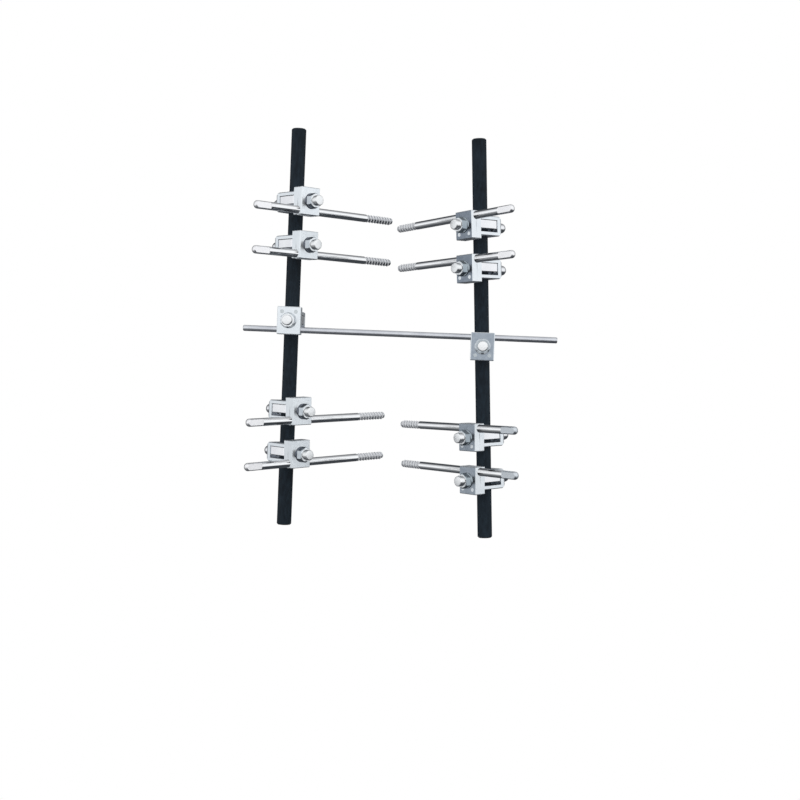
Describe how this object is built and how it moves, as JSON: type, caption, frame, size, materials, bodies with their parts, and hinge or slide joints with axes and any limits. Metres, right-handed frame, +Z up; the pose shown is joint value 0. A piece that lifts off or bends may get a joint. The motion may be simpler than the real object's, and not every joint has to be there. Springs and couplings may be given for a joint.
{
  "type": "external bone fixator",
  "caption": "Two-sided external bone fixator: carbon rods joined by a cross bar, with clamps that hold half-pins for bone.",
  "frame": {"origin": "on the cross bar's axis, midway between the two rods", "axes": "+X along the cross bar, +Z up along the left rod, +Y away from the viewer, towards the bone"},
  "size_m": [0.2345, 0.1006, 0.303],
  "materials": {
    "rod": "carbon fibre composite, satin",
    "bar": "polished steel",
    "clamp": "satin",
    "bolt": "satin steel",
    "pin": "polished steel"
  },
  "bodies": {
    "left_rod": {"left_rod": "rod"},
    "left_clamp_1": {"left_clamp_1_housing": "clamp", "left_clamp_1_eye_bolt": "bolt"},
    "left_vise_1": {"left_clamp_1_inner_plate": "clamp", "left_clamp_1_outer_plate": "clamp"},
    "left_half_pin_1": {"left_half_pin_1": "pin"},
    "left_nut_1": {"left_clamp_1_nut": "bolt"},
    "left_clamp_2": {"left_clamp_2_housing": "clamp", "left_clamp_2_eye_bolt": "bolt"},
    "left_vise_2": {"left_clamp_2_inner_plate": "clamp", "left_clamp_2_outer_plate": "clamp"},
    "left_half_pin_2": {"left_half_pin_2": "pin"},
    "left_nut_2": {"left_clamp_2_nut": "bolt"},
    "left_clamp_3": {"left_clamp_3_housing": "clamp", "left_clamp_3_eye_bolt": "bolt"},
    "left_vise_3": {"left_clamp_3_inner_plate": "clamp", "left_clamp_3_outer_plate": "clamp"},
    "left_half_pin_3": {"left_half_pin_3": "pin"},
    "left_nut_3": {"left_clamp_3_nut": "bolt"},
    "left_clamp_4": {"left_clamp_4_housing": "clamp", "left_clamp_4_eye_bolt": "bolt"},
    "left_vise_4": {"left_clamp_4_inner_plate": "clamp", "left_clamp_4_outer_plate": "clamp"},
    "left_half_pin_4": {"left_half_pin_4": "pin"},
    "left_nut_4": {"left_clamp_4_nut": "bolt"},
    "left_bar_clamp": {"left_bar_clamp_housing": "clamp", "left_bar_clamp_eye_bolt": "bolt"},
    "left_bar_vise": {"left_bar_clamp_vise_plates": "clamp"},
    "left_bar_nut": {"left_bar_clamp_nut": "bolt"},
    "cross_bar": {"cross_bar": "bar"},
    "right_bar_vise": {"right_bar_clamp_vise_plates": "clamp"},
    "right_bar_clamp": {"right_bar_clamp_housing": "clamp", "right_bar_clamp_eye_bolt": "bolt"},
    "right_bar_nut": {"right_bar_clamp_nut": "bolt"},
    "right_rod": {"right_rod": "rod"},
    "right_clamp_1": {"right_clamp_1_housing": "clamp", "right_clamp_1_eye_bolt": "bolt"},
    "right_vise_1": {"right_clamp_1_inner_plate": "clamp", "right_clamp_1_outer_plate": "clamp"},
    "right_half_pin_1": {"right_half_pin_1": "pin"},
    "right_nut_1": {"right_clamp_1_nut": "bolt"},
    "right_clamp_2": {"right_clamp_2_housing": "clamp", "right_clamp_2_eye_bolt": "bolt"},
    "right_vise_2": {"right_clamp_2_inner_plate": "clamp", "right_clamp_2_outer_plate": "clamp"},
    "right_half_pin_2": {"right_half_pin_2": "pin"},
    "right_nut_2": {"right_clamp_2_nut": "bolt"},
    "right_clamp_3": {"right_clamp_3_housing": "clamp", "right_clamp_3_eye_bolt": "bolt"},
    "right_vise_3": {"right_clamp_3_inner_plate": "clamp", "right_clamp_3_outer_plate": "clamp"},
    "right_half_pin_3": {"right_half_pin_3": "pin"},
    "right_nut_3": {"right_clamp_3_nut": "bolt"},
    "right_clamp_4": {"right_clamp_4_housing": "clamp", "right_clamp_4_eye_bolt": "bolt"},
    "right_vise_4": {"right_clamp_4_inner_plate": "clamp", "right_clamp_4_outer_plate": "clamp"},
    "right_half_pin_4": {"right_half_pin_4": "pin"},
    "right_nut_4": {"right_clamp_4_nut": "bolt"}
  },
  "joints": [
    {"name": "left_clamp_1_slide", "type": "slide", "parent": "left_rod", "child": "left_clamp_1", "axis": [0, 0, 1], "range_m": [-0.008, 0.035]},
    {"name": "left_vise_1_turn", "type": "hinge", "parent": "left_clamp_1", "child": "left_vise_1", "pos_m": [-0.06307, 0.00394, 0.0964], "axis": [0.7254, -0.6884, 0], "range_deg": [-10, 10]},
    {"name": "left_half_pin_1_slide", "type": "slide", "parent": "left_vise_1", "child": "left_half_pin_1", "axis": [0.6883, 0.7253, 0.0168], "range_m": [-0.025, 0.002]},
    {"name": "left_nut_1_spin", "type": "hinge", "parent": "left_clamp_1", "child": "left_nut_1", "pos_m": [-0.05629, -0.00249, 0.0964], "axis": [0.7254, -0.6884, 0], "continuous": true},
    {"name": "left_clamp_2_slide", "type": "slide", "parent": "left_rod", "child": "left_clamp_2", "axis": [0, 0, 1], "range_m": [-0.025, 0.008]},
    {"name": "left_vise_2_turn", "type": "hinge", "parent": "left_clamp_2", "child": "left_vise_2", "pos_m": [-0.06307, 0.00394, 0.0638], "axis": [0.7254, -0.6884, 0], "range_deg": [-10, 10]},
    {"name": "left_half_pin_2_slide", "type": "slide", "parent": "left_vise_2", "child": "left_half_pin_2", "axis": [0.6883, 0.7253, 0.0133], "range_m": [-0.025, 0.002]},
    {"name": "left_nut_2_spin", "type": "hinge", "parent": "left_clamp_2", "child": "left_nut_2", "pos_m": [-0.05629, -0.00249, 0.0638], "axis": [0.7254, -0.6884, 0], "continuous": true},
    {"name": "left_clamp_3_slide", "type": "slide", "parent": "left_rod", "child": "left_clamp_3", "axis": [0, 0, 1], "range_m": [-0.008, 0.022]},
    {"name": "left_vise_3_turn", "type": "hinge", "parent": "left_clamp_3", "child": "left_vise_3", "pos_m": [-0.06307, 0.00394, -0.0607], "axis": [0.7254, -0.6884, 0], "range_deg": [-10, 10]},
    {"name": "left_half_pin_3_slide", "type": "slide", "parent": "left_vise_3", "child": "left_half_pin_3", "axis": [0.6878, 0.7248, 0.041], "range_m": [-0.025, 0.002]},
    {"name": "left_nut_3_spin", "type": "hinge", "parent": "left_clamp_3", "child": "left_nut_3", "pos_m": [-0.05629, -0.00249, -0.0607], "axis": [0.7254, -0.6884, 0], "continuous": true},
    {"name": "left_clamp_4_slide", "type": "slide", "parent": "left_rod", "child": "left_clamp_4", "axis": [0, 0, 1], "range_m": [-0.035, 0.008]},
    {"name": "left_vise_4_turn", "type": "hinge", "parent": "left_clamp_4", "child": "left_vise_4", "pos_m": [-0.06307, 0.00394, -0.093], "axis": [0.7254, -0.6884, 0], "range_deg": [-10, 10]},
    {"name": "left_half_pin_4_slide", "type": "slide", "parent": "left_vise_4", "child": "left_half_pin_4", "axis": [0.6877, 0.7247, 0.0429], "range_m": [-0.025, 0.002]},
    {"name": "left_nut_4_spin", "type": "hinge", "parent": "left_clamp_4", "child": "left_nut_4", "pos_m": [-0.05629, -0.00249, -0.093], "axis": [0.7254, -0.6884, 0], "continuous": true},
    {"name": "left_bar_clamp_slide", "type": "slide", "parent": "left_rod", "child": "left_bar_clamp", "axis": [0, 0, 1], "range_m": [-0.015, 0.015]},
    {"name": "left_bar_vise_turn", "type": "hinge", "parent": "left_bar_clamp", "child": "left_bar_vise", "pos_m": [-0.07225, 0, 0.0068], "axis": [0, -1, 0], "range_deg": [-4, 4]},
    {"name": "left_bar_nut_spin", "type": "hinge", "parent": "left_bar_clamp", "child": "left_bar_nut", "pos_m": [-0.07225, -0.00935, 0.0068], "axis": [0, -1, 0], "continuous": true},
    {"name": "cross_bar_slide", "type": "slide", "parent": "left_bar_vise", "child": "cross_bar", "axis": [1, 0, 0], "range_m": [-0.002, 0.02]},
    {"name": "right_bar_vise_slide", "type": "slide", "parent": "cross_bar", "child": "right_bar_vise", "axis": [1, 0, 0], "range_m": [-0.002, 0.03]},
    {"name": "right_bar_vise_turn", "type": "hinge", "parent": "right_bar_vise", "child": "right_bar_clamp", "pos_m": [0.07264, 0, -0.0068], "axis": [0, -1, 0], "range_deg": [-4, 4]},
    {"name": "right_bar_nut_spin", "type": "hinge", "parent": "right_bar_clamp", "child": "right_bar_nut", "pos_m": [0.07264, -0.00935, -0.0068], "axis": [0, -1, 0], "continuous": true},
    {"name": "right_rod_slide", "type": "slide", "parent": "right_bar_clamp", "child": "right_rod", "axis": [-0.0576, 0, 0.9983], "range_m": [-0.015, 0.015]},
    {"name": "right_clamp_1_slide", "type": "slide", "parent": "right_rod", "child": "right_clamp_1", "axis": [-0.0576, 0, 0.9983], "range_m": [-0.008, 0.035]},
    {"name": "right_vise_1_turn", "type": "hinge", "parent": "right_clamp_1", "child": "right_vise_1", "pos_m": [0.05829, 0.00393, 0.08283], "axis": [-0.7236, -0.689, -0.0417], "range_deg": [-10, 10]},
    {"name": "right_half_pin_1_slide", "type": "slide", "parent": "right_vise_1", "child": "right_half_pin_1", "axis": [-0.6863, 0.7246, -0.0625], "range_m": [-0.025, 0.002]},
    {"name": "right_nut_1_spin", "type": "hinge", "parent": "right_clamp_1", "child": "right_nut_1", "pos_m": [0.05152, -0.00251, 0.08244], "axis": [-0.7236, -0.689, -0.0417], "continuous": true},
    {"name": "right_clamp_2_slide", "type": "slide", "parent": "right_rod", "child": "right_clamp_2", "axis": [-0.0576, 0, 0.9983], "range_m": [-0.02, 0.008]},
    {"name": "right_vise_2_turn", "type": "hinge", "parent": "right_clamp_2", "child": "right_vise_2", "pos_m": [0.06014, 0.00393, 0.05079], "axis": [-0.7236, -0.689, -0.0417], "range_deg": [-10, 10]},
    {"name": "right_half_pin_2_slide", "type": "slide", "parent": "right_vise_2", "child": "right_half_pin_2", "axis": [-0.6871, 0.7248, -0.0508], "range_m": [-0.025, 0.002]},
    {"name": "right_nut_2_spin", "type": "hinge", "parent": "right_clamp_2", "child": "right_nut_2", "pos_m": [0.05337, -0.00251, 0.0504], "axis": [-0.7236, -0.689, -0.0417], "continuous": true},
    {"name": "right_clamp_3_slide", "type": "slide", "parent": "right_rod", "child": "right_clamp_3", "axis": [-0.0576, 0, 0.9983], "range_m": [-0.008, 0.022]},
    {"name": "right_vise_3_turn", "type": "hinge", "parent": "right_clamp_3", "child": "right_vise_3", "pos_m": [0.06737, 0.00393, -0.0747], "axis": [-0.7236, -0.689, -0.0417], "range_deg": [-10, 10]},
    {"name": "right_half_pin_3_slide", "type": "slide", "parent": "right_vise_3", "child": "right_half_pin_3", "axis": [-0.6886, 0.7247, -0.0254], "range_m": [-0.025, 0.002]},
    {"name": "right_nut_3_spin", "type": "hinge", "parent": "right_clamp_3", "child": "right_nut_3", "pos_m": [0.06061, -0.00251, -0.07509], "axis": [-0.7236, -0.689, -0.0417], "continuous": true},
    {"name": "right_clamp_4_slide", "type": "slide", "parent": "right_rod", "child": "right_clamp_4", "axis": [-0.0576, 0, 0.9983], "range_m": [-0.03, 0.008]},
    {"name": "right_vise_4_turn", "type": "hinge", "parent": "right_clamp_4", "child": "right_vise_4", "pos_m": [0.06923, 0.00393, -0.10685], "axis": [-0.7236, -0.689, -0.0417], "range_deg": [-10, 10]},
    {"name": "right_half_pin_4_slide", "type": "slide", "parent": "right_vise_4", "child": "right_half_pin_4", "axis": [-0.689, 0.7246, -0.0165], "range_m": [-0.025, 0.002]},
    {"name": "right_nut_4_spin", "type": "hinge", "parent": "right_clamp_4", "child": "right_nut_4", "pos_m": [0.06246, -0.00251, -0.10724], "axis": [-0.7236, -0.689, -0.0417], "continuous": true}
  ]
}
